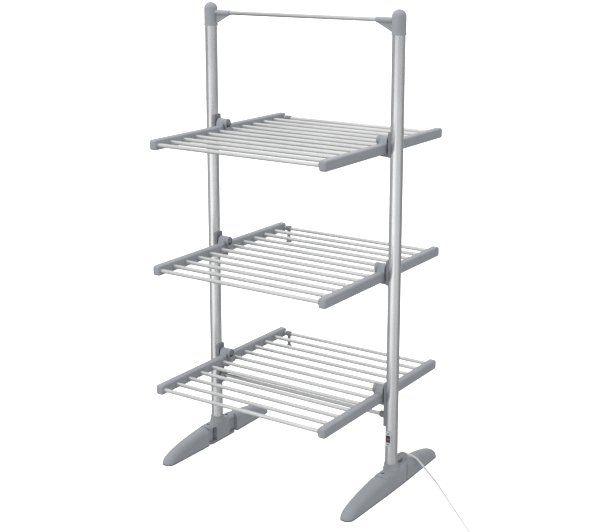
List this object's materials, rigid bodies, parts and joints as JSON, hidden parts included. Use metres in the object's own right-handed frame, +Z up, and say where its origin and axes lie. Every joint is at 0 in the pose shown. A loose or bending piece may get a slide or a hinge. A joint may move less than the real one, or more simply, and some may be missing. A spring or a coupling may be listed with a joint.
{
  "type": "heated clothes airer",
  "caption": "Standing electric clothes airer: two posts on folding feet hold tiers of hinged wings with heated bars, with a top rail, storage clips, a rocker switch and a mains lead.",
  "frame": {"origin": "on the floor, midway between the two posts", "axes": "+X from the left post to the right one as seen from the front, +Y to the back, +Z up"},
  "size_m": [1.1151, 0.6932, 1.43],
  "materials": {
    "post_aluminium": "satin silver",
    "bar_aluminium": "light satin silver",
    "grey_plastic": "fine matt, bluish grey",
    "dark_plastic": "matt dark grey",
    "pin_steel": "plain",
    "pale_plastic": "matt pale grey",
    "red_plastic": "gloss dark red",
    "white_plastic": "white, slightly soft"
  },
  "bodies": {
    "frame": {"left_post": "post_aluminium", "right_post": "post_aluminium", "left_post_cap": "grey_plastic", "right_post_cap": "grey_plastic", "top_bar": "post_aluminium", "lower_crossbar": "post_aluminium", "left_top_bracket": "grey_plastic", "left_top_hinge_pin": "pin_steel", "right_top_bracket": "grey_plastic", "right_top_hinge_pin": "pin_steel", "left_middle_bracket": "grey_plastic", "left_middle_hinge_pin": "pin_steel", "right_middle_bracket": "grey_plastic", "right_middle_hinge_pin": "pin_steel", "left_bottom_bracket": "grey_plastic", "left_bottom_hinge_pin": "pin_steel", "right_bottom_bracket": "grey_plastic", "right_bottom_hinge_pin": "pin_steel", "left_foot_hub": "grey_plastic", "left_front_leg_pin": "pin_steel", "left_back_leg_pin": "pin_steel", "right_foot_hub": "grey_plastic", "right_front_leg_pin": "pin_steel", "right_back_leg_pin": "pin_steel", "switch_plate": "pale_plastic", "switch_body": "dark_plastic", "lead_relief": "grey_plastic", "lead": "white_plastic", "lead_coil": "white_plastic", "plug": "white_plastic"},
    "top_front_wing": {"top_front_left_arm": "grey_plastic", "top_front_right_arm": "grey_plastic", "top_front_bars": "bar_aluminium"},
    "top_back_wing": {"top_back_left_arm": "grey_plastic", "top_back_right_arm": "grey_plastic", "top_back_bars": "bar_aluminium"},
    "top_clip": {"top_storage_clip": "dark_plastic"},
    "middle_front_wing": {"middle_front_left_arm": "grey_plastic", "middle_front_right_arm": "grey_plastic", "middle_front_bars": "bar_aluminium"},
    "middle_back_wing": {"middle_back_left_arm": "grey_plastic", "middle_back_right_arm": "grey_plastic", "middle_back_bars": "bar_aluminium"},
    "middle_clip": {"middle_storage_clip": "dark_plastic"},
    "bottom_front_wing": {"bottom_front_left_arm": "grey_plastic", "bottom_front_right_arm": "grey_plastic", "bottom_front_bars": "bar_aluminium"},
    "bottom_back_wing": {"bottom_back_left_arm": "grey_plastic", "bottom_back_right_arm": "grey_plastic", "bottom_back_bars": "bar_aluminium"},
    "bottom_clip": {"bottom_storage_clip": "dark_plastic"},
    "left_front_leg": {"left_front_leg": "grey_plastic"},
    "left_back_leg": {"left_back_leg": "grey_plastic"},
    "right_front_leg": {"right_front_leg": "grey_plastic"},
    "right_back_leg": {"right_back_leg": "grey_plastic"},
    "rocker": {"switch_rocker": "red_plastic"}
  },
  "joints": [
    {"name": "top_front_wing_fold", "type": "hinge", "parent": "frame", "child": "top_front_wing", "pos_m": [0, 0, 1.0598], "axis": [-1, 0, 0], "range_deg": [0, 90]},
    {"name": "top_back_wing_fold", "type": "hinge", "parent": "frame", "child": "top_back_wing", "pos_m": [0, 0, 1.0598], "axis": [1, 0, 0], "range_deg": [0, 90]},
    {"name": "top_clip_swing", "type": "hinge", "parent": "top_back_wing", "child": "top_clip", "pos_m": [-0.2615, 0.3223, 1.036], "axis": [1, 0, 0], "range_deg": [-180, 90]},
    {"name": "middle_front_wing_fold", "type": "hinge", "parent": "frame", "child": "middle_front_wing", "pos_m": [0, 0, 0.6818], "axis": [-1, 0, 0], "range_deg": [0, 90]},
    {"name": "middle_back_wing_fold", "type": "hinge", "parent": "frame", "child": "middle_back_wing", "pos_m": [0, 0, 0.6818], "axis": [1, 0, 0], "range_deg": [0, 90]},
    {"name": "middle_clip_swing", "type": "hinge", "parent": "middle_back_wing", "child": "middle_clip", "pos_m": [-0.2615, 0.3223, 0.658], "axis": [1, 0, 0], "range_deg": [-180, 90]},
    {"name": "bottom_front_wing_fold", "type": "hinge", "parent": "frame", "child": "bottom_front_wing", "pos_m": [0, 0, 0.3058], "axis": [-1, 0, 0], "range_deg": [0, 90]},
    {"name": "bottom_back_wing_fold", "type": "hinge", "parent": "frame", "child": "bottom_back_wing", "pos_m": [0, 0, 0.3058], "axis": [1, 0, 0], "range_deg": [0, 90]},
    {"name": "bottom_clip_swing", "type": "hinge", "parent": "bottom_back_wing", "child": "bottom_clip", "pos_m": [-0.2615, 0.3223, 0.282], "axis": [1, 0, 0], "range_deg": [-180, 90]},
    {"name": "left_front_leg_fold", "type": "hinge", "parent": "frame", "child": "left_front_leg", "pos_m": [-0.33, -0.05, 0.03], "axis": [0, 0, 1], "range_deg": [0, 90]},
    {"name": "left_back_leg_fold", "type": "hinge", "parent": "frame", "child": "left_back_leg", "pos_m": [-0.33, 0.05, 0.03], "axis": [0, 0, -1], "range_deg": [0, 90]},
    {"name": "right_front_leg_fold", "type": "hinge", "parent": "frame", "child": "right_front_leg", "pos_m": [0.33, -0.05, 0.03], "axis": [0, 0, -1], "range_deg": [0, 90]},
    {"name": "right_back_leg_fold", "type": "hinge", "parent": "frame", "child": "right_back_leg", "pos_m": [0.33, 0.05, 0.03], "axis": [0, 0, 1], "range_deg": [0, 90]},
    {"name": "rocker_tip", "type": "hinge", "parent": "frame", "child": "rocker", "pos_m": [0.33, -0.0195, 0.16], "axis": [-1, 0, 0], "range_deg": [0, 14]}
  ]
}
